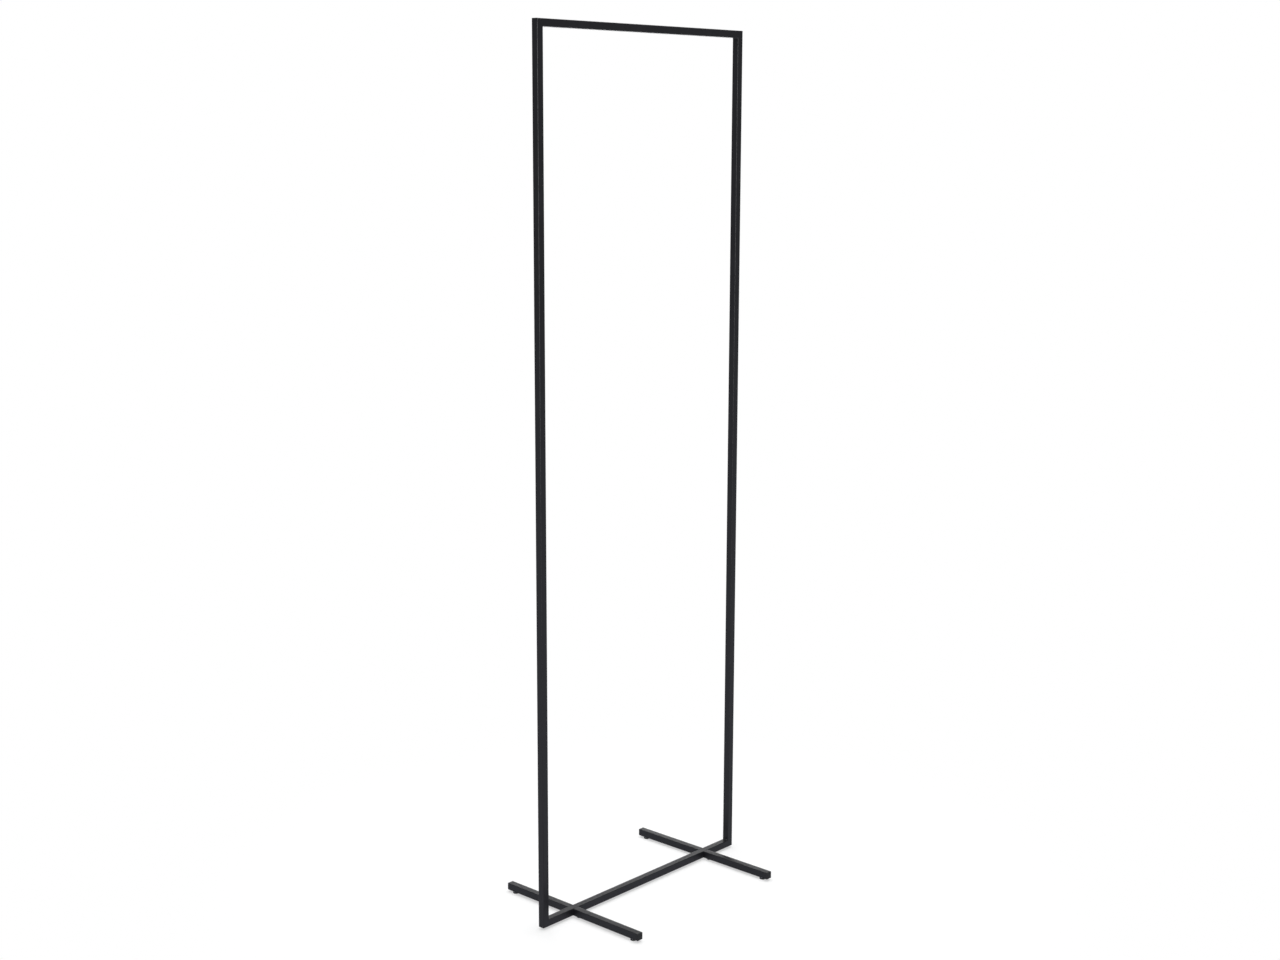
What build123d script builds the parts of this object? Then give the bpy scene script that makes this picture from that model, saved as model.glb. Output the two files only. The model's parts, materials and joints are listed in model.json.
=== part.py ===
"""Free-standing clothing rack: one tall welded frame of slim square tube on two plug-in cross feet.

+X runs along the rails to the right, +Y runs to the rear, +Z is up. The origin is on the floor, in the
middle of the footprint. All sizes are in millimetres.
"""

import math
from pathlib import Path

from build123d import *

# ---- driving dimensions ------------------------------------------------------------------------------
OVERALL_HEIGHT = 1800.0  # floor to the top of the hanging rail
FRAME_WIDTH = 600.0  # over the two uprights
FOOT_SPAN = 375.0  # front to back, over the end caps
UPRIGHT_TO_FOOT = 70.0  # clear space between an upright and its cross foot

TUBE = 15.0  # side of the square tube
WALL = 1.2
TUBE_EDGE_RADIUS = 1.2  # rounding along the tube's outer edges
TUBE_BORE_RADIUS = 0.4  # rounding along its inner edges

GLIDE_STANDOFF = 4.5  # gap between the floor and the feet with the glides screwed home
GLIDE_FROM_END = 18.0  # glide's axis from the end of the foot

SPIGOT = 12.0  # side of the square bar that joins the feet to the bottom rail
SPIGOT_REACH = 35.0  # how far it enters each foot tube
SCREW_FROM_RAIL = 10.0  # fixing screw's axis from the bottom rail's face

CORNER_WELD_LEG = 2.2
CORNER_WELD_LENGTH = 12.6
PLUG_WELD_RADIUS = 3.0
PLUG_WELD_CROWN = 0.4

# ---- bought-in hardware ------------------------------------------------------------------------------
M6_RADIUS = 3.0
M6_TIP = 0.7  # chamfer at the end of a thread
THREAD_CLEARANCE = 0.05  # radial gap left between a male and a female thread

SCREW_HEAD_RADIUS = 5.25
SCREW_HEAD_HEIGHT = 3.3
SCREW_HEAD_EDGE = 0.4  # the straight rim beside the foot
SCREW_CROWN_RADIUS = 3.0  # the flat round the socket's mouth
SCREW_LENGTH = 8.0
SCREW_KEY = 4.0  # width across the flats of the hexagon socket
SCREW_KEY_DEPTH = 2.0
SCREW_HOLE_CLEARANCE = 0.25  # radial gap where the screw passes through the foot's wall
INSERT_FLANGE_RADIUS = 5.5
INSERT_FLANGE = 0.5
INSERT_BODY_RADIUS = 4.45
INSERT_BULGE_RADIUS = 5.7  # the collar that forms behind the wall as the insert is set
INSERT_BULGE = 2.4  # height of the collar
INSERT_BULGE_STRAIGHT = 1.4  # height of its straight part
INSERT_CHAMFER = 0.4
INSERT_DEPTH = 9.0  # how far it stands up from the wall's inner face

PAD_RADIUS = 6.5
PAD_HEIGHT = 2.6
PAD_EDGE = 0.5
PAD_POCKET_BASE = 0.6  # height of the snap-in pocket's floor
PAD_POCKET_TOP = 1.7
PAD_FIT = 0.1  # clearance all round the stud's button
STUD_HEX = 10.0  # width across the flats
STUD_HEX_HEIGHT = 1.2
STUD_TOP_GAP = 0.5  # room left over the stud's tip with the glide screwed home
STUD_RIM_RADIUS = 3.5  # the button that snaps into the pad
STUD_RIM_BASE = 0.7
STUD_RIM_TOP = 1.6
STUD_NECK_RADIUS = 2.6

CAP_HEAD = 2.0
CAP_PLUG_DEPTH = 9.6
CAP_PLUG_SIDE = 11.4
CAP_PLUG_WALL = 1.5
CAP_RIB = 1.0
CAP_RIB_COUNT = 3
CAP_RIB_CLEARANCE = 0.05
CAP_EDGE_RADIUS = 0.8

DOME_STEPS = 6  # straight lines that make up each dome's outline

# ---- derived places ----------------------------------------------------------------------------------
FRAME_BOTTOM = GLIDE_STANDOFF
FRAME_TOP = OVERALL_HEIGHT
HALF_WIDTH = FRAME_WIDTH / 2
HALF_TUBE = TUBE / 2
BORE = TUBE - 2 * WALL
RAIL_AXIS_Z = FRAME_BOTTOM + HALF_TUBE
BORE_FLOOR_Z = FRAME_BOTTOM + WALL
FOOT_X = HALF_WIDTH - TUBE - UPRIGHT_TO_FOOT - HALF_TUBE
FOOT_TUBE_LENGTH = FOOT_SPAN / 2 - HALF_TUBE - CAP_HEAD
GLIDE_Y = FOOT_SPAN / 2 - GLIDE_FROM_END
SCREW_Y = HALF_TUBE + SCREW_FROM_RAIL
SPIGOT_AXIS_Z = BORE_FLOOR_Z + SPIGOT / 2  # the spigot rests on the floor of the foot tubes
STUD_HEX_BASE_Z = PAD_HEIGHT + PAD_FIT
STUD_HEX_TOP_Z = STUD_HEX_BASE_Z + STUD_HEX_HEIGHT
STUD_TIP_Z = FRAME_BOTTOM + TUBE - WALL - STUD_TOP_GAP
SIDES = {"left": -1, "right": 1}
ENDS = {"front": -1, "rear": 1}


def rounded_square(side, radius):
    """A square section with rounded corners, centred on the sketch origin."""
    return RectangleRounded(side, side, radius)


def tube_section():
    return rounded_square(TUBE, TUBE_EDGE_RADIUS) - rounded_square(BORE, TUBE_BORE_RADIUS)


def hole_up(x, y, radius, bottom, top):
    """A round cutter standing on z = bottom."""
    return Pos(x, y, bottom) * Cylinder(radius, top - bottom, align=(Align.CENTER, Align.CENTER, Align.MIN))


def turned(outline):
    """A solid of revolution about Z from (radius, height) corners."""
    face = make_face(Plane.XZ * Polyline(*outline, close=True))
    return revolve(face, Axis.Z)


def dome(inner_radius, outer_radius, rim_z, drop):
    """Outline corners of a dome that hangs below its rim, from its flat middle out to the rim."""
    corners = []
    for step in range(DOME_STEPS + 1):
        angle = math.pi / 2 * step / DOME_STEPS
        radius = inner_radius + (outer_radius - inner_radius) * math.sin(angle)
        corners.append((radius, rim_z - drop * math.cos(angle)))
    return corners


def upright_blank(side):
    """A plain length of tube standing where an upright goes."""
    x = side * (HALF_WIDTH - HALF_TUBE)
    return Pos(x, 0, FRAME_BOTTOM) * extrude(tube_section(), FRAME_TOP - FRAME_BOTTOM)


def rail_blank(axis_z):
    """A plain length of tube lying where a rail goes."""
    along_x = Plane(origin=(-HALF_WIDTH, 0, axis_z), x_dir=(0, 1, 0), z_dir=(1, 0, 0))
    return extrude(along_x * tube_section(), FRAME_WIDTH)


def mitre_block(corners):
    """A block over the outline (x, z), deep enough to cut a tube's ends at 45 degrees."""
    outline = make_face(Plane.XZ * Polyline(*corners, close=True))
    return extrude(outline, TUBE, both=True)


def upright(side):
    """A tube whose long side faces outward, mitred at the bottom and the top."""
    outer = side * HALF_WIDTH
    inner = side * (HALF_WIDTH - TUBE)
    corners = [
        (outer, FRAME_BOTTOM),
        (inner, FRAME_BOTTOM + TUBE),
        (inner, FRAME_TOP - TUBE),
        (outer, FRAME_TOP),
    ]
    return upright_blank(side) & mitre_block(corners)


def rail(outer_z, inner_z):
    """A mitred rail whose long side is at outer_z and whose short side is at inner_z."""
    corners = [
        (-HALF_WIDTH, outer_z),
        (HALF_WIDTH, outer_z),
        (HALF_WIDTH - TUBE, inner_z),
        (TUBE - HALF_WIDTH, inner_z),
    ]
    return rail_blank((outer_z + inner_z) / 2) & mitre_block(corners)


def spigot_bar(side):
    """The square bar through the bottom rail, before its holes are tapped."""
    length = TUBE + 2 * SPIGOT_REACH
    along_y = Plane(origin=(side * FOOT_X, -length / 2, SPIGOT_AXIS_Z), x_dir=(-1, 0, 0), z_dir=(0, 1, 0))
    return extrude(along_y * rounded_square(SPIGOT, TUBE_BORE_RADIUS), length)


def bottom_rail():
    """The bottom rail, pierced for the two spigots and for the plug welds that hold them."""
    body = rail(FRAME_BOTTOM, FRAME_BOTTOM + TUBE)
    for side in SIDES.values():
        body -= spigot_bar(side)
        body -= hole_up(side * FOOT_X, 0, PLUG_WELD_RADIUS, FRAME_BOTTOM, BORE_FLOOR_Z)
    return body


def foot_spigot(side):
    """The spigot bar with its two tapped holes."""
    body = spigot_bar(side)
    hole_top_z = BORE_FLOOR_Z + SCREW_LENGTH + WALL
    for end in ENDS.values():
        body -= hole_up(side * FOOT_X, end * SCREW_Y, M6_RADIUS, BORE_FLOOR_Z, hole_top_z)
    return body


def plug_weld(side):
    """The weld that fills the hole under the rail: a disc with a low crown."""
    outline = dome(0, PLUG_WELD_RADIUS, FRAME_BOTTOM, PLUG_WELD_CROWN)
    outline += [(PLUG_WELD_RADIUS, BORE_FLOOR_Z), (0, BORE_FLOOR_Z)]
    return Pos(side * FOOT_X, 0, 0) * turned(outline)


def corner_weld(side, top):
    """The quarter-round bead left in an inside corner of the frame."""
    x = side * (HALF_WIDTH - TUBE)
    z = FRAME_TOP - TUBE if top else FRAME_BOTTOM + TUBE
    into_frame_z = -1 if top else 1
    bead = Pos(x, 0, z) * Rot(90, 0, 0) * Cylinder(CORNER_WELD_LEG, CORNER_WELD_LENGTH)
    room = Pos(x - side * HALF_TUBE, 0, z + into_frame_z * HALF_TUBE) * Box(TUBE, TUBE, TUBE)
    return bead & room


def foot_tube(side, end):
    """One arm of a cross foot: a tube that slides over the spigot and butts against the rail."""
    rail_face_y = end * HALF_TUBE
    along_y = Plane(origin=(side * FOOT_X, rail_face_y, RAIL_AXIS_Z), x_dir=(-end, 0, 0), z_dir=(0, end, 0))
    body = extrude(along_y * tube_section(), FOOT_TUBE_LENGTH)
    screw_hole_radius = M6_RADIUS + SCREW_HOLE_CLEARANCE
    body -= hole_up(side * FOOT_X, end * SCREW_Y, screw_hole_radius, FRAME_BOTTOM, BORE_FLOOR_Z)
    insert_hole_radius = INSERT_BODY_RADIUS + THREAD_CLEARANCE
    body -= hole_up(side * FOOT_X, end * GLIDE_Y, insert_hole_radius, FRAME_BOTTOM, BORE_FLOOR_Z)
    return body


def end_cap(side, end):
    """A moulded plug for the open end of a foot tube: a flat head and a ribbed hollow stem."""
    head = extrude(rounded_square(TUBE, TUBE_EDGE_RADIUS), CAP_HEAD)
    head = fillet(head.edges().group_by(Axis.Z)[-1], CAP_EDGE_RADIUS)
    stem = extrude(rounded_square(CAP_PLUG_SIDE, TUBE_BORE_RADIUS), -CAP_PLUG_DEPTH)
    rib_side = BORE - 2 * CAP_RIB_CLEARANCE
    rib_pitch = CAP_PLUG_DEPTH / CAP_RIB_COUNT
    for number in range(CAP_RIB_COUNT):
        top_z = -CAP_RIB - number * rib_pitch
        stem += Pos(0, 0, top_z) * extrude(rounded_square(rib_side, TUBE_BORE_RADIUS), -CAP_RIB)
    hollow = rounded_square(CAP_PLUG_SIDE - 2 * CAP_PLUG_WALL, TUBE_BORE_RADIUS)
    stem -= extrude(hollow, -CAP_PLUG_DEPTH)
    face_y = end * (HALF_TUBE + FOOT_TUBE_LENGTH)
    place = Plane(origin=(side * FOOT_X, face_y, RAIL_AXIS_Z), x_dir=(-end, 0, 0), z_dir=(0, end, 0))
    return place.location * (head + stem)


def foot_screw(side, end):
    """An M6 button-head socket screw, driven up into the spigot."""
    shank_radius = M6_RADIUS - THREAD_CLEARANCE
    outline = [(0, -SCREW_HEAD_HEIGHT)]
    dome_height = SCREW_HEAD_HEIGHT - SCREW_HEAD_EDGE
    outline += dome(SCREW_CROWN_RADIUS, SCREW_HEAD_RADIUS, -SCREW_HEAD_EDGE, dome_height)
    outline += [
        (SCREW_HEAD_RADIUS, 0),
        (shank_radius, 0),
        (shank_radius, SCREW_LENGTH - M6_TIP),
        (shank_radius - M6_TIP, SCREW_LENGTH),
        (0, SCREW_LENGTH),
    ]
    key_face = RegularPolygon(SCREW_KEY / 2, 6, major_radius=False)
    socket = Pos(0, 0, -SCREW_HEAD_HEIGHT) * extrude(key_face, SCREW_KEY_DEPTH)
    return Pos(side * FOOT_X, end * SCREW_Y, FRAME_BOTTOM) * (turned(outline) - socket)


def glide_insert(side, end):
    """The threaded rivet nut set in the underside of a foot, as it stands after crimping."""
    top = WALL + INSERT_DEPTH
    outline = [
        (M6_RADIUS + INSERT_CHAMFER, -INSERT_FLANGE),
        (INSERT_FLANGE_RADIUS, -INSERT_FLANGE),
        (INSERT_FLANGE_RADIUS, 0),
        (INSERT_BODY_RADIUS, 0),
        (INSERT_BODY_RADIUS, WALL),
        (INSERT_BULGE_RADIUS, WALL),
        (INSERT_BULGE_RADIUS, WALL + INSERT_BULGE_STRAIGHT),
        (INSERT_BODY_RADIUS, WALL + INSERT_BULGE),
        (INSERT_BODY_RADIUS, top),
        (M6_RADIUS, top),
        (M6_RADIUS, INSERT_CHAMFER - INSERT_FLANGE),
    ]
    return Pos(side * FOOT_X, end * GLIDE_Y, FRAME_BOTTOM) * turned(outline)


def glide_stud(side, end):
    """The turning half of a levelling glide: threaded shank, thin hexagon and snap-in button."""
    shank_radius = M6_RADIUS - THREAD_CLEARANCE
    inside_hexagon_z = STUD_HEX_BASE_Z + STUD_HEX_HEIGHT / 2
    outline = [
        (0, STUD_RIM_BASE),
        (STUD_RIM_RADIUS, STUD_RIM_BASE),
        (STUD_RIM_RADIUS, STUD_RIM_TOP),
        (STUD_NECK_RADIUS, STUD_RIM_TOP),
        (STUD_NECK_RADIUS, inside_hexagon_z),
        (shank_radius, inside_hexagon_z),
        (shank_radius, STUD_TIP_Z - M6_TIP),
        (shank_radius - M6_TIP, STUD_TIP_Z),
        (0, STUD_TIP_Z),
    ]
    hexagon = RegularPolygon(STUD_HEX / 2, 6, major_radius=False)
    collar = Pos(0, 0, STUD_HEX_BASE_Z) * extrude(hexagon, STUD_HEX_HEIGHT)
    return Pos(side * FOOT_X, end * GLIDE_Y, 0) * (turned(outline) + collar)


def glide_pad(side, end):
    """The still half of a levelling glide: a round moulded foot that snaps over the stud's button."""
    pocket_radius = STUD_RIM_RADIUS + PAD_FIT
    mouth_radius = STUD_NECK_RADIUS + PAD_FIT
    outline = [
        (0, 0),
        (PAD_RADIUS - PAD_EDGE, 0),
        (PAD_RADIUS, PAD_EDGE),
        (PAD_RADIUS, PAD_HEIGHT - PAD_EDGE),
        (PAD_RADIUS - PAD_EDGE, PAD_HEIGHT),
        (mouth_radius, PAD_HEIGHT),
        (mouth_radius, PAD_POCKET_TOP),
        (pocket_radius, PAD_POCKET_TOP),
        (pocket_radius, PAD_POCKET_BASE),
        (0, PAD_POCKET_BASE),
    ]
    return Pos(side * FOOT_X, end * GLIDE_Y, 0) * turned(outline)


def assembly():
    """Every separate piece of the rack, by name."""
    pieces = {
        "top_rail": rail(FRAME_TOP, FRAME_TOP - TUBE),
        "bottom_rail": bottom_rail(),
    }
    for side_name, side in SIDES.items():
        pieces[f"upright_{side_name}"] = upright(side)
        pieces[f"foot_spigot_{side_name}"] = foot_spigot(side)
        pieces[f"spigot_plug_weld_{side_name}"] = plug_weld(side)
        pieces[f"corner_weld_top_{side_name}"] = corner_weld(side, top=True)
        pieces[f"corner_weld_bottom_{side_name}"] = corner_weld(side, top=False)
        for end_name, end in ENDS.items():
            corner = f"{end_name}_{side_name}"
            pieces[f"foot_tube_{corner}"] = foot_tube(side, end)
            pieces[f"foot_end_cap_{corner}"] = end_cap(side, end)
            pieces[f"foot_screw_{corner}"] = foot_screw(side, end)
            pieces[f"glide_insert_{corner}"] = glide_insert(side, end)
            pieces[f"glide_stud_{corner}"] = glide_stud(side, end)
            pieces[f"glide_pad_{corner}"] = glide_pad(side, end)
    return pieces


Path("parts").mkdir(exist_ok=True)
for node, piece in assembly().items():
    export_step(piece, f"parts/{node}.step")
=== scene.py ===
"""Studio view of a free-standing clothing rack: a tall welded frame of black square tube on two cross feet.

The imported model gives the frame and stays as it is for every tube, spigot and threaded insert. This script
adds the finish, the weld beads, the moulded and threaded small parts, the floor, the lights and the camera.
Places and light sizes are in metres. The profiles of small parts and names ending in _MM are in millimetres.
"""

import json
import math

import bpy
from mathutils import Matrix, Vector, noise


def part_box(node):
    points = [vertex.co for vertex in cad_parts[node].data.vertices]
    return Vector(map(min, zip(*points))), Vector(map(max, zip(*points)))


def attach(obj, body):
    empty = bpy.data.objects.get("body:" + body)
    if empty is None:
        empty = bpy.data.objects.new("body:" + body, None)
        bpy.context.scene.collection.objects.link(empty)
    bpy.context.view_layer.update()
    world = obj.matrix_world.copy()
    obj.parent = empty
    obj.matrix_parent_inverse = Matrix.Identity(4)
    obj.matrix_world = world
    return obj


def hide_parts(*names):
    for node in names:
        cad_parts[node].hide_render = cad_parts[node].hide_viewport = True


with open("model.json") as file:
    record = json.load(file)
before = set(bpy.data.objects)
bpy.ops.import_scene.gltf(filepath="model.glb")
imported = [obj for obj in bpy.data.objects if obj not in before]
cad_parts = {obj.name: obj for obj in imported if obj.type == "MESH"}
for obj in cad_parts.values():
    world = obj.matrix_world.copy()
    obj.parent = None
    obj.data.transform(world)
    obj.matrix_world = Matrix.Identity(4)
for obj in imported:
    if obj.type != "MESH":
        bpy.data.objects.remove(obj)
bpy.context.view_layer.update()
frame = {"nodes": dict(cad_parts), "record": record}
MM = 0.001

# ---- names -------------------------------------------------------------------------------------------
SIDES = {"left": -1, "right": 1}
ENDS = {"front": -1, "rear": 1}
LEVELS = {"bottom": -1, "top": 1}

# ---- camera ------------------------------------------------------------------------------------------
CAMERA_PLACE = Vector((-2.740, -2.484, 1.601))
CAMERA_HEADING = math.radians(47.744)  # clockwise from +Y, seen from above
CAMERA_PITCH = math.radians(-10.9025)
CAMERA_ROLL = math.radians(0.1815)
SENSOR_WIDTH_MM = 36.0
LENS_MM = 51.42

# ---- mesh resolution ---------------------------------------------------------------------------------
ROUND_STEPS = 48  # points round a turned piece, a multiple of six for the hexagons
ARC_STEPS = 6  # points round each corner of a square ring
SIDE_STEPS = 4  # points along each side of a square ring
SHARP_ANGLE = math.radians(32)

# ---- M6 thread ---------------------------------------------------------------------------------------
M6_CREST_MM = 2.95
M6_DEPTH_MM = 0.5
M6_PITCH_MM = 1.0
M6_TIP_MM = 0.7  # length of the tapered tip
THREAD_STEPS = 8  # rings to each turn

# ---- weld sizes --------------------------------------------------------------------------------------
BEAD_RIPPLE_PITCH_MM = 1.15
BEAD_STEPS = 72
SEAM_HALF_WIDTH_MM = 1.5
SEAM_HEIGHT_MM = 0.16
SEAM_END_MARGIN_MM = 2.2
SEAM_SINK_MM = 0.02  # how far a seam's edges lie under the tube's face
SEAM_DEPTH_MM = 0.3  # thickness of the seam's body below its skin

# ---- studio ------------------------------------------------------------------------------------------
FLOOR_RADIUS = 6.0
FLOOR_SIDES = 96
FADE_START = 0.42  # distance from the rack's middle where the floor starts to turn into plain paper
FADE_END = 1.05
FLOOR_SEEN = (0.98, 0.98, 0.98)
FLOOR_IN_REFLECTIONS = (0.39, 0.405, 0.46)
PAPER_IN_REFLECTIONS = (0.425, 0.435, 0.475)
FLOOR_OWN_LIGHT = 0.5  # share of plain paper mixed into the floor by the rack, which thins the shadows
ROOM_STRENGTH = 0.22

# ---- sockets of a mix node that holds colours --------------------------------------------------------
MIX_FACTOR = 0
MIX_FIRST = 6
MIX_SECOND = 7
MIX_RESULT = 2


# ---- meshes from stacked rings -----------------------------------------------------------------------
def make_piece(name, vertices, faces, body, slot, material, replaced=()):
    """A new object in the row frame that rides on a body and stands for some nodes of the frame."""
    mesh = bpy.data.meshes.new(name)
    mesh.from_pydata(vertices, [], faces)
    mesh.polygons.foreach_set("use_smooth", [True] * len(mesh.polygons))
    mesh.validate()
    mesh.set_sharp_from_angle(angle=SHARP_ANGLE)
    mesh.materials.append(material)
    piece = bpy.data.objects.new(name, mesh)
    bpy.context.scene.collection.objects.link(piece)
    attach(piece, body)
    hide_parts(*replaced)
    return piece


def skin(rings):
    """Vertices and faces of a closed skin over a stack of rings, each end closed by a fan to its centre."""
    count = len(rings[0])
    vertices = [point for ring in rings for point in ring]
    faces = []
    for level in range(len(rings) - 1):
        low, high = level * count, (level + 1) * count
        for step in range(count):
            after = (step + 1) % count
            faces.append((low + step, low + after, high + after, high + step))
    for ring, first, forward in ((rings[0], 0, False), (rings[-1], (len(rings) - 1) * count, True)):
        centre = len(vertices)
        vertices.append(sum(ring, Vector()) / count)
        for step in range(count):
            after = (step + 1) % count
            a, b = (step, after) if forward else (after, step)
            faces.append((first + a, first + b, centre))
    return vertices, faces


def joined(*shells):
    """Several (vertices, faces) lists as one."""
    vertices, faces = [], []
    for shell_vertices, shell_faces in shells:
        base = len(vertices)
        vertices += shell_vertices
        faces += [tuple(base + index for index in face) for face in shell_faces]
    return vertices, faces


def placed(shell, matrix):
    vertices, faces = shell
    return [matrix @ vertex for vertex in vertices], faces


def round_ring(radius_mm, height_mm):
    """A circle of points, anticlockwise from above."""
    turn = math.tau / ROUND_STEPS
    return [
        Vector((math.cos(step * turn) * radius_mm, math.sin(step * turn) * radius_mm, height_mm)) * MM
        for step in range(ROUND_STEPS)
    ]


def hexagon_ring(across_flats_mm, limit_mm, height_mm):
    """A hexagon whose corners are cut back to a circle of radius limit_mm."""
    ring = []
    for step in range(ROUND_STEPS):
        angle = math.tau * step / ROUND_STEPS
        from_flat = (angle % (math.pi / 3)) - math.pi / 6
        radius = min(across_flats_mm / 2 / math.cos(from_flat), limit_mm)
        ring.append(Vector((math.cos(angle) * radius, math.sin(angle) * radius, height_mm)) * MM)
    return ring


def square_ring(half_mm, corner_mm, height_mm):
    """A square with rounded corners, anticlockwise from above."""
    corner = min(corner_mm, half_mm)
    flat = half_mm - corner
    ring = []
    for quarter in range(4):
        start = quarter * math.pi / 2
        turn = Matrix.Rotation(start, 3, "Z")
        for step in range(ARC_STEPS + 1):
            angle = math.pi / 2 * step / ARC_STEPS
            point = Vector((flat + corner * math.cos(angle), flat + corner * math.sin(angle), height_mm))
            ring.append(turn @ point * MM)
        for step in range(1, SIDE_STEPS):
            across = flat * (1 - 2 * step / SIDE_STEPS)
            ring.append(turn @ Vector((across, half_mm, height_mm)) * MM)
    return ring


def thread_rings(bottom_mm, top_mm):
    """Rings of a right-hand M6 thread that fades in over one turn at its foot and tapers at its top."""
    rings = []
    count = round((top_mm - bottom_mm) / M6_PITCH_MM * THREAD_STEPS)
    for level in range(count + 1):
        height = bottom_mm + (top_mm - bottom_mm) * level / count
        fade = min(1.0, (height - bottom_mm) / M6_PITCH_MM)
        taper = max(0.0, height - (top_mm - M6_TIP_MM))
        ring = []
        for step in range(ROUND_STEPS):
            angle = math.tau * step / ROUND_STEPS
            phase = (height / M6_PITCH_MM - angle / math.tau) % 1.0
            flank = min(1.0, max(0.0, 1.25 - abs(phase - 0.5) * 3.0))
            radius = min(M6_CREST_MM - M6_DEPTH_MM + M6_DEPTH_MM * flank * fade, M6_CREST_MM - taper)
            ring.append(Vector((math.cos(angle) * radius, math.sin(angle) * radius, height)) * MM)
        rings.append(ring)
    return rings


def round_rings(profile):
    """Rings of a turned piece from (radius, height) pairs in millimetres."""
    return [round_ring(radius, height) for radius, height in profile]


def arc_profile(centre_radius, centre_height, size, start_deg, end_deg, steps=5):
    """Points along a rounded edge of a turned profile."""
    points = []
    for step in range(steps + 1):
        angle = math.radians(start_deg + (end_deg - start_deg) * step / steps)
        points.append((centre_radius + size * math.cos(angle), centre_height + size * math.sin(angle)))
    return points


# ---- materials ---------------------------------------------------------------------------------------
class Finish:
    """A procedural material that is put together node by node, in the row frame's own coordinates."""

    def __init__(self, name, metallic=0.0):
        self.material = bpy.data.materials.new(name)
        self.material.use_nodes = True
        self.nodes = self.material.node_tree.nodes
        self.links = self.material.node_tree.links
        self.shader = self.nodes["Principled BSDF"]
        self.shader.inputs["Metallic"].default_value = metallic
        self.place = self.nodes.new("ShaderNodeTexCoord").outputs["Object"]
        self.normal = None

    def noise(self, scale, detail=3.0, roughness=0.55, stretch=None):
        """A noise field. Scale is in features per metre."""
        field = self.nodes.new("ShaderNodeTexNoise")
        field.inputs["Scale"].default_value = scale
        field.inputs["Detail"].default_value = detail
        field.inputs["Roughness"].default_value = roughness
        place = self.place
        if stretch:
            mapping = self.nodes.new("ShaderNodeMapping")
            mapping.inputs["Scale"].default_value = stretch
            self.links.new(self.place, mapping.inputs["Vector"])
            place = mapping.outputs["Vector"]
        self.links.new(place, field.inputs["Vector"])
        return field.outputs["Fac"]

    def spread(self, field, low, high, out_low, out_high):
        """Maps a field from one range to another, held at the ends."""
        ramp = self.nodes.new("ShaderNodeMapRange")
        ramp.clamp = True
        self.links.new(field, ramp.inputs["Value"])
        ramp.inputs["From Min"].default_value = low
        ramp.inputs["From Max"].default_value = high
        ramp.inputs["To Min"].default_value = out_low
        ramp.inputs["To Max"].default_value = out_high
        return ramp.outputs["Result"]

    def math(self, operation, first, second):
        step = self.nodes.new("ShaderNodeMath")
        step.operation = operation
        for socket, value in zip(step.inputs, (first, second)):
            if isinstance(value, (int, float)):
                socket.default_value = value
            else:
                self.links.new(value, socket)
        return step.outputs["Value"]

    def colour(self, factor, dark, light):
        """The base colour, between two tones."""
        mix = self.nodes.new("ShaderNodeMix")
        mix.data_type = "RGBA"
        mix.inputs[MIX_FIRST].default_value = (*dark, 1)
        mix.inputs[MIX_SECOND].default_value = (*light, 1)
        self.links.new(factor, mix.inputs[MIX_FACTOR])
        self.links.new(mix.outputs[MIX_RESULT], self.shader.inputs["Base Color"])

    def roughness(self, field):
        self.links.new(field, self.shader.inputs["Roughness"])

    def bump(self, height, depth, strength=1.0):
        """Adds a layer of relief, depth metres from its lowest to its highest point."""
        layer = self.nodes.new("ShaderNodeBump")
        layer.inputs["Distance"].default_value = depth
        layer.inputs["Strength"].default_value = strength
        self.links.new(height, layer.inputs["Height"])
        if self.normal:
            self.links.new(self.normal, layer.inputs["Normal"])
        self.normal = layer.outputs["Normal"]
        self.links.new(self.normal, self.shader.inputs["Normal"])


def powder_coat():
    """Satin black powder coat: orange peel, a fine matt grain, and faint rubbed patches."""
    coat = Finish("powder_coat_black")
    clouds = coat.noise(9, detail=4)
    rubs = coat.noise(70, detail=6, roughness=0.7, stretch=(1.0, 1.0, 0.35))
    grain = coat.noise(2600, detail=2)
    cloud_tone = coat.spread(clouds, 0.35, 0.65, 0.3, 1.0)
    rub_tone = coat.spread(rubs, 0.4, 0.7, 0.2, 1.0)
    tone = coat.math("MULTIPLY", cloud_tone, rub_tone)
    coat.colour(tone, (0.0088, 0.0086, 0.0108), (0.0154, 0.0150, 0.0184))
    cloud_dull = coat.spread(clouds, 0.3, 0.7, 0.31, 0.37)
    grain_dull = coat.spread(grain, 0.3, 0.7, -0.03, 0.03)
    dull = coat.math("ADD", cloud_dull, grain_dull)
    coat.roughness(coat.math("ADD", dull, coat.spread(rubs, 0.55, 0.75, 0.0, 0.06)))
    coat.bump(coat.noise(620, detail=2, roughness=0.4), 0.00006, 0.55)
    coat.bump(grain, 0.00002, 0.35)
    return coat.material


def moulded_plastic(name, dark, light, dull):
    """Black moulded plastic: a spark-eroded grain and slightly uneven gloss."""
    plastic = Finish(name)
    clouds = plastic.noise(160, detail=3)
    grain = plastic.noise(4200, detail=3, roughness=0.65)
    plastic.colour(plastic.spread(clouds, 0.35, 0.65, 0.0, 1.0), dark, light)
    uneven = plastic.spread(clouds, 0.3, 0.7, dull - 0.05, dull + 0.05)
    plastic.roughness(plastic.math("ADD", uneven, plastic.spread(grain, 0.3, 0.7, -0.04, 0.04)))
    plastic.bump(grain, 0.00003, 0.6)
    plastic.bump(plastic.noise(500, detail=1), 0.00004, 0.25)
    return plastic.material


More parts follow.
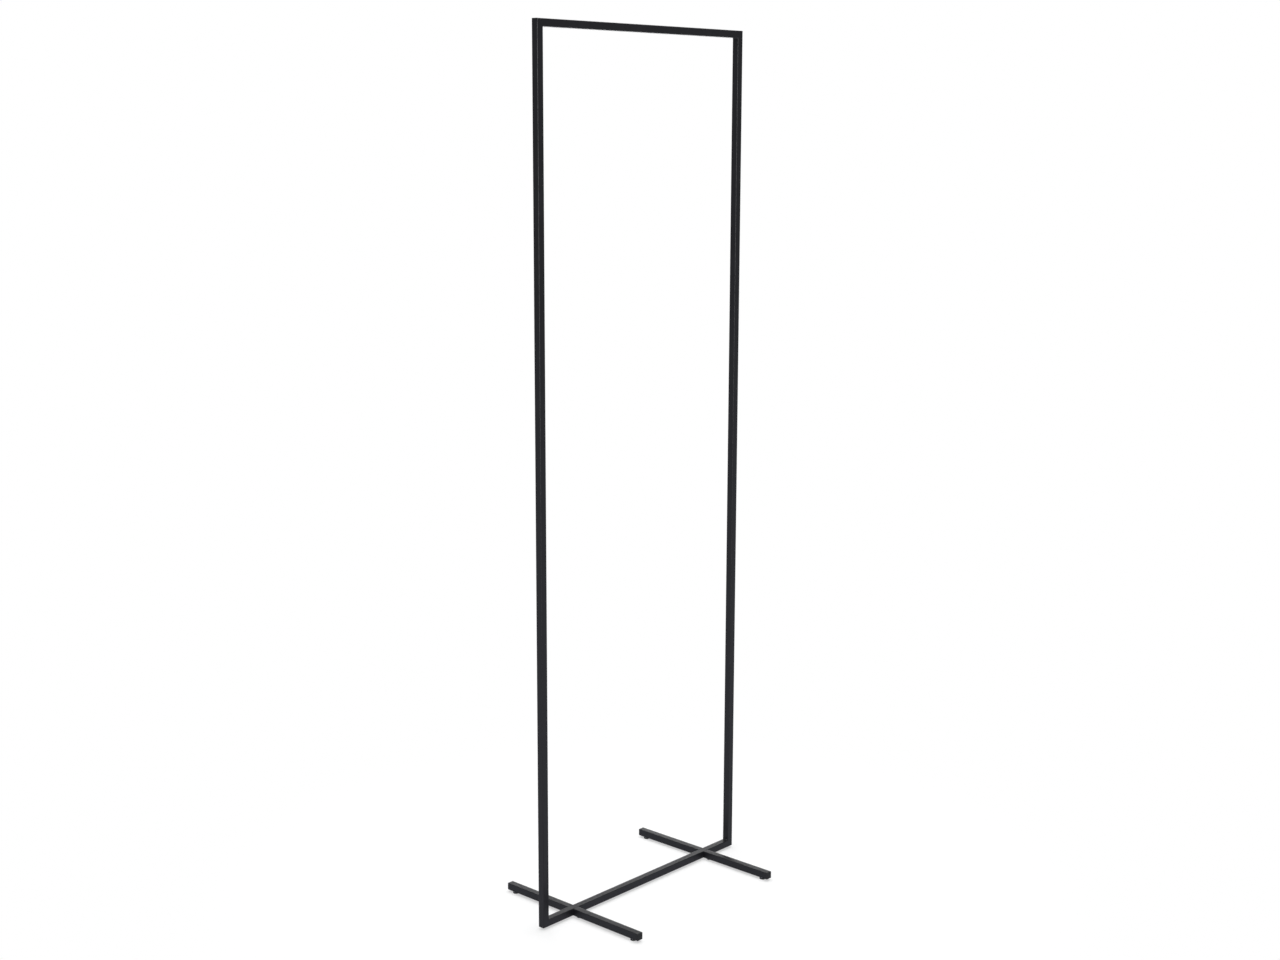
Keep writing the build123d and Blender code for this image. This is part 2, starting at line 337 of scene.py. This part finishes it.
def plated_steel(name, dark, light, dull, streaks=None):
    """Plated or bare steel: blotchy tone, uneven gloss and fine drawing marks."""
    steel = Finish(name, metallic=1.0)
    blotches = steel.noise(420, detail=4, roughness=0.6)
    marks = steel.noise(1500, detail=3, stretch=streaks)
    steel.colour(steel.spread(blotches, 0.35, 0.65, 0.0, 1.0), dark, light)
    uneven = steel.spread(blotches, 0.3, 0.7, dull - 0.06, dull + 0.08)
    steel.roughness(steel.math("ADD", uneven, steel.spread(marks, 0.3, 0.7, -0.05, 0.05)))
    steel.bump(marks, 0.00002, 0.4)
    return steel.material


POWDER = powder_coat()
CAP_PLASTIC = moulded_plastic("cap_plastic_black", (0.0085, 0.0085, 0.009), (0.014, 0.014, 0.0148), 0.5)
GLIDE_PLASTIC = moulded_plastic("glide_plastic_black", (0.010, 0.010, 0.0105), (0.018, 0.018, 0.0185), 0.6)
BLACK_SCREW = plated_steel("black_screw_steel", (0.030, 0.030, 0.033), (0.060, 0.060, 0.064), 0.36)
ZINC = plated_steel("zinc_plated_steel", (0.42, 0.43, 0.45), (0.62, 0.63, 0.65), 0.34)
PLAIN_STEEL = plated_steel("drawn_steel", (0.20, 0.20, 0.21), (0.34, 0.34, 0.35), 0.42, streaks=(6, 0.2, 6))


def finish_frame():
    """Gives every tube, spigot and insert of the frame its own finish."""
    by_slot = {"powder_coat": POWDER, "zinc_steel": ZINC, "spigot_steel": PLAIN_STEEL}
    for entry in frame["record"]["subparts"]:
        material = by_slot.get(entry["material_slot"])
        node = frame["nodes"][entry["node"]]
        if material:
            node.data.materials.clear()
            node.data.materials.append(material)


# ---- small parts -------------------------------------------------------------------------------------
def corners():
    """The name of each corner of the footprint, and which end of its foot it is on (-1 front, 1 rear)."""
    return [(f"{end_name}_{side_name}", end) for side_name in SIDES for end_name, end in ENDS.items()]


def axis_place(node):
    """Where the upright axis of a turned piece meets the floor."""
    low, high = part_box(node)
    middle = (low + high) / 2
    return Matrix.Translation((middle.x, middle.y, 0))


def glide_pads():
    """Round moulded feet with eased edges, a ring groove beneath and a snap-in pocket above."""
    outline = [(0.6, 0.12), (1.6, 0.12), (1.9, 0.0), (4.3, 0.0), (4.5, 0.18), (4.9, 0.18), (5.1, 0.0)]
    outline += arc_profile(5.8, 0.7, 0.7, -90, 0)
    outline += [(6.5, 1.25), (6.44, 1.3), (6.44, 1.5)]
    outline += arc_profile(5.54, 1.7, 0.9, 0, 90)
    outline += [(3.2, 2.6), (2.85, 2.5), (2.7, 2.3), (2.7, 1.7), (3.6, 1.7), (3.6, 0.6), (0.8, 0.6)]
    shell = skin(round_rings(outline))
    for corner, _ in corners():
        node = f"glide_pad_{corner}"
        shape = placed(shell, axis_place(node))
        make_piece(f"moulded_{node}", *shape, f"glide_foot_{corner}", "glide_plastic", GLIDE_PLASTIC, [node])


def glide_studs():
    """Zinc-plated studs: a snap-in button, a thin chamfered hexagon and a cut thread."""
    across_flats, corner_limit, chamfer_circle, chamfer = 10.0, 5.55, 4.8, 0.28
    base, top, tip = 2.7, 3.9, 17.8
    button = [(3.1, 0.7), (3.4, 0.78), (3.5, 1.0), (3.5, 1.4), (3.38, 1.58), (2.6, 1.6), (2.6, base)]
    rings = round_rings(button)
    rings.append(hexagon_ring(across_flats, chamfer_circle, base))
    rings.append(hexagon_ring(across_flats, corner_limit, base + chamfer))
    rings.append(hexagon_ring(across_flats, corner_limit, top - chamfer))
    rings.append(hexagon_ring(across_flats, chamfer_circle, top))
    rings += thread_rings(top, tip)
    shell = skin(rings)
    for corner, _ in corners():
        node = f"glide_stud_{corner}"
        shape = placed(shell, axis_place(node))
        make_piece(f"threaded_{node}", *shape, f"glide_screw_{corner}", "zinc_steel", ZINC, [node])


def foot_screws():
    """Button-head socket screws that hold the foot tubes to the spigots, head down."""
    key, head_radius, head_height, crown, edge, chamfer = 4.0, 5.25, 3.3, 3.0, 0.4, 0.1
    socket_depth, shank_top = 2.0, 8.0
    cone_depth, cone_share = 0.35, 0.3  # the drilled bottom of the socket
    mouth_depth, mouth_flare = 0.18, 0.22  # the chamfer round the socket's mouth
    crown_steps = 8
    mouth = key / 2 / math.cos(math.pi / 6)
    cone = hexagon_ring(key, mouth, socket_depth - head_height + cone_depth)
    rings = [[Vector((point.x * cone_share, point.y * cone_share, point.z)) for point in cone]]
    rings.append(hexagon_ring(key, mouth, socket_depth - head_height))
    rings.append(hexagon_ring(key, mouth, mouth_depth - head_height))
    rings.append(round_ring(mouth + mouth_flare, -head_height))
    for step in range(crown_steps + 1):
        angle = math.pi / 2 * step / crown_steps
        radius = crown + (head_radius - crown) * math.sin(angle)
        rings.append(round_ring(radius, -edge - (head_height - edge) * math.cos(angle)))
    rings += round_rings([(head_radius, -chamfer), (head_radius - chamfer, 0.0), (M6_CREST_MM, 0.0)])
    rings += thread_rings(0.0, shank_top)
    shell = skin(rings)
    for corner, _ in corners():
        node = f"foot_screw_{corner}"
        low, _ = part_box(node)
        place = axis_place(node) @ Matrix.Translation((0, 0, low.z + head_height * MM))
        make_piece(f"button_{node}", *placed(shell, place), "frame", "black_screw", BLACK_SCREW, [node])


def end_caps():
    """Moulded square plugs: a domed head with eased edges and a gate dimple, and a ribbed hollow stem."""
    head, half, corner, edge, dome = 2.0, 7.5, 1.3, 0.75, 0.22
    dimple_depth, dimple_radii, dimple_rim = 0.14, (0.35, 0.7), 0.9
    dome_steps, edge_steps = 7, 6
    rings = [square_ring(size, size, head - dimple_depth) for size in dimple_radii]
    for step in range(dome_steps + 1):
        size = dimple_rim + (half - edge - dimple_rim) * step / dome_steps
        bulge = dome * (1 - (size / (half - edge)) ** 2)
        rings.append(square_ring(size, min(size, corner + 0.6 * (half - size)), head - dome + bulge))
    for step in range(1, edge_steps + 1):
        angle = math.pi / 2 * step / edge_steps
        size = half - edge + edge * math.sin(angle)
        rings.append(square_ring(size, corner, head - dome - edge + edge * math.cos(angle)))
    lip_height, lip_inset = 0.18, 0.15
    rings += [square_ring(half, corner, lip_height), square_ring(half - lip_inset, corner, 0.0)]
    rib, stem, bore, soft, chamfer = 6.25, 5.7, 4.2, 0.5, 0.3
    stem_end, chamfer_start = -9.6, -9.3
    rings.append(square_ring(stem, soft, 0.0))
    for rib_top in (-1.0, -4.2, -7.4):
        rings += [square_ring(stem, soft, rib_top), square_ring(rib, soft, rib_top - 0.25)]
        rings += [square_ring(rib, soft, rib_top - 0.6), square_ring(stem, soft, rib_top - 1.0)]
    rings += [square_ring(stem, soft, chamfer_start), square_ring(stem - chamfer, soft, stem_end)]
    rings += [square_ring(bore, soft, stem_end), square_ring(bore, soft, 0.0)]
    shell = skin(list(reversed(rings)))
    for corner_name, end in corners():
        node = f"foot_end_cap_{corner_name}"
        low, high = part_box(node)
        middle = (low + high) / 2
        outer_y = high.y if end > 0 else low.y
        face_y = outer_y - end * head * MM
        turn = Matrix.Rotation(math.radians(-90 * end), 4, "X")
        place = Matrix.Translation((middle.x, face_y, middle.z)) @ turn
        make_piece(f"moulded_{node}", *placed(shell, place), "frame", "cap_plastic", CAP_PLASTIC, [node])


# ---- welds -------------------------------------------------------------------------------------------
def corner_beads():
    """Rippled beads in the inside corners of the frame."""
    arc_steps = 10
    for side_name, side in SIDES.items():
        for level_name, level in LEVELS.items():
            node = f"corner_weld_{level_name}_{side_name}"
            low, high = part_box(node)
            leg = high.x - low.x
            root = Vector((high.x if side > 0 else low.x, 0, high.z if level > 0 else low.z))
            rings = []
            for step in range(BEAD_STEPS + 1):
                along = low.y + (high.y - low.y) * step / BEAD_STEPS
                taper = min(1.0, 0.35 + 6 * min(step, BEAD_STEPS - step) / BEAD_STEPS)
                ring = [Vector((root.x, along, root.z))]
                for arc in range(arc_steps + 1):
                    angle = math.pi / 2 * arc / arc_steps
                    crescent = 0.3 * math.sin(2 * angle)
                    ripple = abs(math.sin(math.pi * (along / MM / BEAD_RIPPLE_PITCH_MM + crescent)))
                    drift = noise.noise(Vector((along * 180, angle, side * 3 + level)))
                    reach = leg * taper * (0.86 + 0.09 * ripple + 0.05 * drift)
                    over_x = side * reach * math.cos(angle)
                    over_z = level * reach * math.sin(angle)
                    ring.append(Vector((root.x - over_x, along, root.z - over_z)))
                rings.append(ring)
            if side * level > 0:
                rings.reverse()
            make_piece(f"rippled_{node}", *skin(rings), "frame", "coated_weld", POWDER, [node])


def mitre_seams():
    """The dressed welds across the mitres: low soft ridges on the front and rear of each corner."""
    length_steps, width_steps = 30, 8
    for side_name, side in SIDES.items():
        low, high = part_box(f"upright_{side_name}")
        for level_name, level in LEVELS.items():
            outer = Vector((high.x if side > 0 else low.x, 0, high.z if level > 0 else low.z))
            inward = Vector((-side, 0, -level)).normalized()
            across = Vector((side, 0, -level)).normalized()
            full = (high.x - low.x) * math.sqrt(2)
            sink = SEAM_SINK_MM * MM
            shells = []
            for face in (-1, 1):
                outward = Vector((0, face, 0))
                surface = Vector((0, high.y * face, 0))
                rows = []
                for step in range(length_steps + 1):
                    part = step / length_steps
                    along = SEAM_END_MARGIN_MM * MM + (full - 2 * SEAM_END_MARGIN_MM * MM) * part
                    swell = math.sqrt(max(0.0, 1 - (2 * part - 1) ** 6))
                    wander = 0.12 * noise.noise(Vector((along * 260, side * 5 + level, face * 2)))
                    row = []
                    for cut in range(width_steps + 1):
                        spot = 2 * cut / width_steps - 1
                        rise = SEAM_HEIGHT_MM * MM * swell * (1 - spot * spot) ** 1.5
                        lump = noise.noise(Vector((along * 700, spot * 2, side + 3 * level + face)))
                        rise *= 1 + 0.25 * lump
                        offset = SEAM_HALF_WIDTH_MM * MM * swell * (spot + wander)
                        middle = outer + surface + inward * along
                        row.append(middle + across * offset + outward * (rise - sink))
                    rows.append(row)
                back = [[point - outward * SEAM_DEPTH_MM * MM for point in row] for row in rows]
                rings = [row + list(reversed(under)) for row, under in zip(rows, back)]
                if side * level * face < 0:
                    rings.reverse()
                shells.append(skin(rings))
            name = f"mitre_seam_{level_name}_{side_name}"
            make_piece(name, *joined(*shells), "frame", "coated_weld", POWDER)


def plug_welds():
    """Low rippled puddles under the bottom rail, where the spigots are welded in."""
    for side_name in SIDES:
        node = f"spigot_plug_weld_{side_name}"
        low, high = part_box(node)
        middle = (low + high) / 2
        radius = (high.x - low.x) / 2 / MM
        crown, centre = 0.4, 0.3
        ripple_height, ripple_pitch, steps = 0.06, 0.8, 13
        rings = []
        for step in range(steps + 1):
            size = centre + (radius - centre) * step / steps
            ripple = ripple_height * math.cos(size * math.tau / ripple_pitch)
            rise = crown * (1 - (size / radius) ** 2) * 0.85 + ripple * (1 - size / radius)
            rings.append(round_ring(size, -rise))
        rings.append(round_ring(radius, (high.z - low.z) / MM - crown))
        shape = placed(skin(rings), Matrix.Translation((middle.x, middle.y, low.z + crown * MM)))
        make_piece(f"rippled_{node}", *shape, "frame", "coated_weld", POWDER, [node])


# ---- floor, lights and camera ------------------------------------------------------------------------
def make_floor():
    """A pale round floor that turns into plain white paper away from the rack."""
    ring = []
    for step in range(FLOOR_SIDES):
        angle = math.tau * step / FLOOR_SIDES
        ring.append(Vector((math.cos(angle), math.sin(angle), 0)) * FLOOR_RADIUS)
    mesh = bpy.data.meshes.new("floor")
    mesh.from_pydata(ring, [], [tuple(range(FLOOR_SIDES))])
    floor = bpy.data.objects.new("floor", mesh)
    bpy.context.scene.collection.objects.link(floor)
    material = bpy.data.materials.new("pale_floor")
    material.use_nodes = True
    nodes, links = material.node_tree.nodes, material.node_tree.links
    shader = nodes["Principled BSDF"]
    shader.inputs["Roughness"].default_value = 0.9
    shader.inputs["Specular IOR Level"].default_value = 0.1
    paper = nodes.new("ShaderNodeEmission")
    ray = nodes.new("ShaderNodeLightPath")
    tone = nodes.new("ShaderNodeMix")
    tone.data_type = "RGBA"
    tone.inputs[MIX_FIRST].default_value = (*FLOOR_IN_REFLECTIONS, 1)
    tone.inputs[MIX_SECOND].default_value = (*FLOOR_SEEN, 1)
    glow = nodes.new("ShaderNodeMix")
    glow.data_type = "RGBA"
    glow.inputs[MIX_FIRST].default_value = (*PAPER_IN_REFLECTIONS, 1)
    glow.inputs[MIX_SECOND].default_value = (1, 1, 1, 1)
    for mixed, socket in ((tone, shader.inputs["Base Color"]), (glow, paper.inputs["Color"])):
        links.new(ray.outputs["Is Camera Ray"], mixed.inputs[MIX_FACTOR])
        links.new(mixed.outputs[MIX_RESULT], socket)
    place = nodes.new("ShaderNodeTexCoord")
    distance = nodes.new("ShaderNodeVectorMath")
    distance.operation = "LENGTH"
    fade = nodes.new("ShaderNodeMapRange")
    fade.interpolation_type = "SMOOTHSTEP"
    fade.inputs["From Min"].default_value = FADE_START
    fade.inputs["From Max"].default_value = FADE_END
    fade.inputs["To Min"].default_value = FLOOR_OWN_LIGHT
    mix = nodes.new("ShaderNodeMixShader")
    links.new(place.outputs["Object"], distance.inputs[0])
    links.new(distance.outputs["Value"], fade.inputs["Value"])
    links.new(fade.outputs["Result"], mix.inputs[0])
    links.new(shader.outputs[0], mix.inputs[1])
    links.new(paper.outputs[0], mix.inputs[2])
    links.new(mix.outputs[0], nodes["Material Output"].inputs["Surface"])
    mesh.materials.append(material)


def softbox(name, place, target, size, watts, gloss_only=False):
    """A large soft light aimed at a point, unseen by the camera. If gloss_only, only reflections show it."""
    data = bpy.data.lights.new(name, "AREA")
    data.shape = "RECTANGLE"
    data.size, data.size_y = size
    data.energy = watts
    light = bpy.data.objects.new(name, data)
    light.location = place
    light.rotation_euler = (Vector(target) - Vector(place)).to_track_quat("-Z", "Y").to_euler()
    light.visible_camera = False
    light.visible_diffuse = not gloss_only
    bpy.context.scene.collection.objects.link(light)


def make_world():
    """White to the camera, and a dimmer grey room in what the rack reflects."""
    world = bpy.data.worlds.new("studio")
    bpy.context.scene.world = world
    world.use_nodes = True
    nodes, links = world.node_tree.nodes, world.node_tree.links
    room = nodes["Background"]
    room.inputs["Color"].default_value = (0.96, 0.98, 1.0, 1)
    room.inputs["Strength"].default_value = ROOM_STRENGTH
    paper = nodes.new("ShaderNodeBackground")
    paper.inputs["Strength"].default_value = 1.0
    paper.inputs["Color"].default_value = (1, 1, 1, 1)
    ray = nodes.new("ShaderNodeLightPath")
    mix = nodes.new("ShaderNodeMixShader")
    links.new(ray.outputs["Is Camera Ray"], mix.inputs[0])
    links.new(room.outputs[0], mix.inputs[1])
    links.new(paper.outputs[0], mix.inputs[2])
    links.new(mix.outputs[0], nodes["World Output"].inputs["Surface"])


def aim(camera, heading, pitch, roll):
    """Turns the camera to a compass heading, a pitch above the horizon and a roll."""
    forward = Vector(
        (math.sin(heading) * math.cos(pitch), math.cos(heading) * math.cos(pitch), math.sin(pitch))
    )
    level_right = Vector((math.cos(heading), -math.sin(heading), 0))
    level_up = level_right.cross(forward)
    right = level_right * math.cos(roll) + level_up * math.sin(roll)
    up = right.cross(forward)
    camera.rotation_euler = Matrix((right, up, -forward)).transposed().to_euler()


def make_camera():
    data = bpy.data.cameras.new("camera")
    data.sensor_width = SENSOR_WIDTH_MM
    data.lens = LENS_MM
    camera = bpy.data.objects.new("camera", data)
    camera.location = CAMERA_PLACE
    aim(camera, CAMERA_HEADING, CAMERA_PITCH, CAMERA_ROLL)
    bpy.context.scene.collection.objects.link(camera)
    bpy.context.scene.camera = camera


finish_frame()
glide_pads()
glide_studs()
foot_screws()
end_caps()
corner_beads()
mitre_seams()
plug_welds()
make_floor()
make_world()
softbox("overhead", (0.3, 0.2, 3.6), (0, 0, 0), (3.0, 3.0), 125)
softbox("key", (-3.3, -3.0, 2.3), (0, 0, 0.9), (3.0, 2.4), 65)
softbox("edge light", (-3.2, -2.9, 1.6), (0, 0, 0.9), (3.2, 3.0), 75, gloss_only=True)
softbox("backdrop", (2.7, 2.9, 0.55), (0, 0, 0.3), (3.0, 0.9), 26)
make_camera()
bpy.context.scene.view_settings.view_transform = "Standard"
